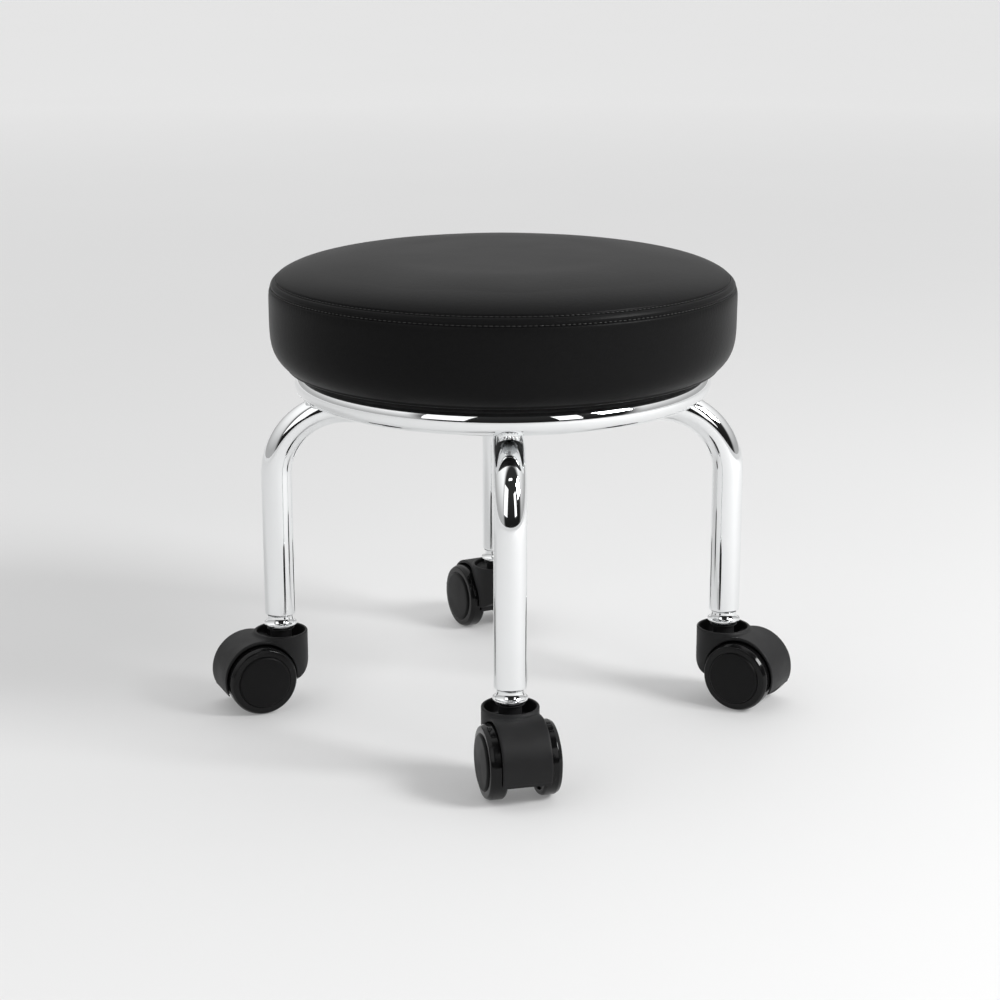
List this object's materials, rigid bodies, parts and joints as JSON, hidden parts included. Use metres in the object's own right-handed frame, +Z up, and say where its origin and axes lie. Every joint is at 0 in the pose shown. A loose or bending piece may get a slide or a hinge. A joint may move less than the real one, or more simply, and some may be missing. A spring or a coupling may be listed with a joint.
{
  "type": "rolling stylist stool",
  "caption": "Low round stool with a padded black seat on a chromed ring and bent tube legs, each standing on a twin-wheel swivel caster.",
  "frame": {"origin": "on the floor at the middle of the footprint, under the seat's centre", "axes": "+Z up; the front leg is at -Y, the right leg at +X"},
  "size_m": [0.4266, 0.4264, 0.3316],
  "materials": {
    "black_leather": "satin synthetic leather",
    "foam": "open-cell foam",
    "plywood": "raw plywood",
    "black_cloth": "spunbonded lining",
    "chrome": "bright chrome plate",
    "zinc": "zinc plate",
    "steel": "turned steel",
    "black_nylon": "satin moulded nylon",
    "wheel_nylon": "smooth moulded nylon",
    "black_acetal": "satin"
  },
  "bodies": {
    "seat_frame": {"seat_top_panel": "black_leather", "seat_side_panel": "black_leather", "seat_foam": "foam", "seat_board": "plywood", "dust_cover": "black_cloth", "seat_ring": "chrome", "frame_hub": "chrome", "seat_plate": "chrome", "seat_screw_1": "zinc", "tee_nut_1": "zinc", "seat_screw_2": "zinc", "tee_nut_2": "zinc", "seat_screw_3": "zinc", "tee_nut_3": "zinc", "seat_screw_4": "zinc", "tee_nut_4": "zinc", "leg_front": "chrome", "ferrule_front": "chrome", "caster_stem_front": "steel", "leg_right": "chrome", "ferrule_right": "chrome", "caster_stem_right": "steel", "leg_back": "chrome", "ferrule_back": "chrome", "caster_stem_back": "steel", "leg_left": "chrome", "ferrule_left": "chrome", "caster_stem_left": "steel"},
    "caster_front": {"swivel_washer_front": "black_acetal", "caster_hood_front": "black_nylon", "caster_axle_front": "steel"},
    "wheel_front_left": {"wheel_front_left": "wheel_nylon", "hub_cap_front_left": "wheel_nylon"},
    "wheel_front_right": {"wheel_front_right": "wheel_nylon", "hub_cap_front_right": "wheel_nylon"},
    "caster_right": {"swivel_washer_right": "black_acetal", "caster_hood_right": "black_nylon", "caster_axle_right": "steel"},
    "wheel_right_left": {"wheel_right_left": "wheel_nylon", "hub_cap_right_left": "wheel_nylon"},
    "wheel_right_right": {"wheel_right_right": "wheel_nylon", "hub_cap_right_right": "wheel_nylon"},
    "caster_back": {"swivel_washer_back": "black_acetal", "caster_hood_back": "black_nylon", "caster_axle_back": "steel"},
    "wheel_back_left": {"wheel_back_left": "wheel_nylon", "hub_cap_back_left": "wheel_nylon"},
    "wheel_back_right": {"wheel_back_right": "wheel_nylon", "hub_cap_back_right": "wheel_nylon"},
    "caster_left": {"swivel_washer_left": "black_acetal", "caster_hood_left": "black_nylon", "caster_axle_left": "steel"},
    "wheel_left_left": {"wheel_left_left": "wheel_nylon", "hub_cap_left_left": "wheel_nylon"},
    "wheel_left_right": {"wheel_left_right": "wheel_nylon", "hub_cap_left_right": "wheel_nylon"}
  },
  "joints": [
    {"name": "swivel_front", "type": "hinge", "parent": "seat_frame", "child": "caster_front", "pos_m": [0, -0.1625, 0.045], "axis": [0, 0, 1], "continuous": true},
    {"name": "roll_front_left", "type": "hinge", "parent": "caster_front", "child": "wheel_front_left", "pos_m": [0.02257, -0.1786, 0.025], "axis": [0.9763, 0.2164, 0], "continuous": true},
    {"name": "roll_front_right", "type": "hinge", "parent": "caster_front", "child": "wheel_front_right", "pos_m": [-0.01365, -0.18663, 0.025], "axis": [0.9763, 0.2164, 0], "continuous": true},
    {"name": "swivel_right", "type": "hinge", "parent": "seat_frame", "child": "caster_right", "pos_m": [0.1625, 0, 0.045], "axis": [0, 0, 1], "continuous": true},
    {"name": "roll_right_left", "type": "hinge", "parent": "caster_right", "child": "wheel_right_left", "pos_m": [0.18988, 0.00434, 0.025], "axis": [0.5446, 0.8387, 0], "continuous": true},
    {"name": "roll_right_right", "type": "hinge", "parent": "caster_right", "child": "wheel_right_right", "pos_m": [0.16967, -0.02678, 0.025], "axis": [0.5446, 0.8387, 0], "continuous": true},
    {"name": "swivel_back", "type": "hinge", "parent": "seat_frame", "child": "caster_back", "pos_m": [0, 0.1625, 0.045], "axis": [0, 0, 1], "continuous": true},
    {"name": "roll_back_left", "type": "hinge", "parent": "caster_back", "child": "wheel_back_left", "pos_m": [-0.02552, 0.17333, 0.025], "axis": [-0.9063, -0.4226, 0], "continuous": true},
    {"name": "roll_back_right", "type": "hinge", "parent": "caster_back", "child": "wheel_back_right", "pos_m": [0.00811, 0.18901, 0.025], "axis": [-0.9063, -0.4226, 0], "continuous": true},
    {"name": "swivel_left", "type": "hinge", "parent": "seat_frame", "child": "caster_left", "pos_m": [-0.1625, 0, 0.045], "axis": [0, 0, 1], "continuous": true},
    {"name": "roll_left_left", "type": "hinge", "parent": "caster_left", "child": "wheel_left_left", "pos_m": [-0.17465, -0.02492, 0.025], "axis": [0.3746, -0.9272, 0], "continuous": true},
    {"name": "roll_left_right", "type": "hinge", "parent": "caster_left", "child": "wheel_left_right", "pos_m": [-0.18855, 0.00948, 0.025], "axis": [0.3746, -0.9272, 0], "continuous": true}
  ]
}
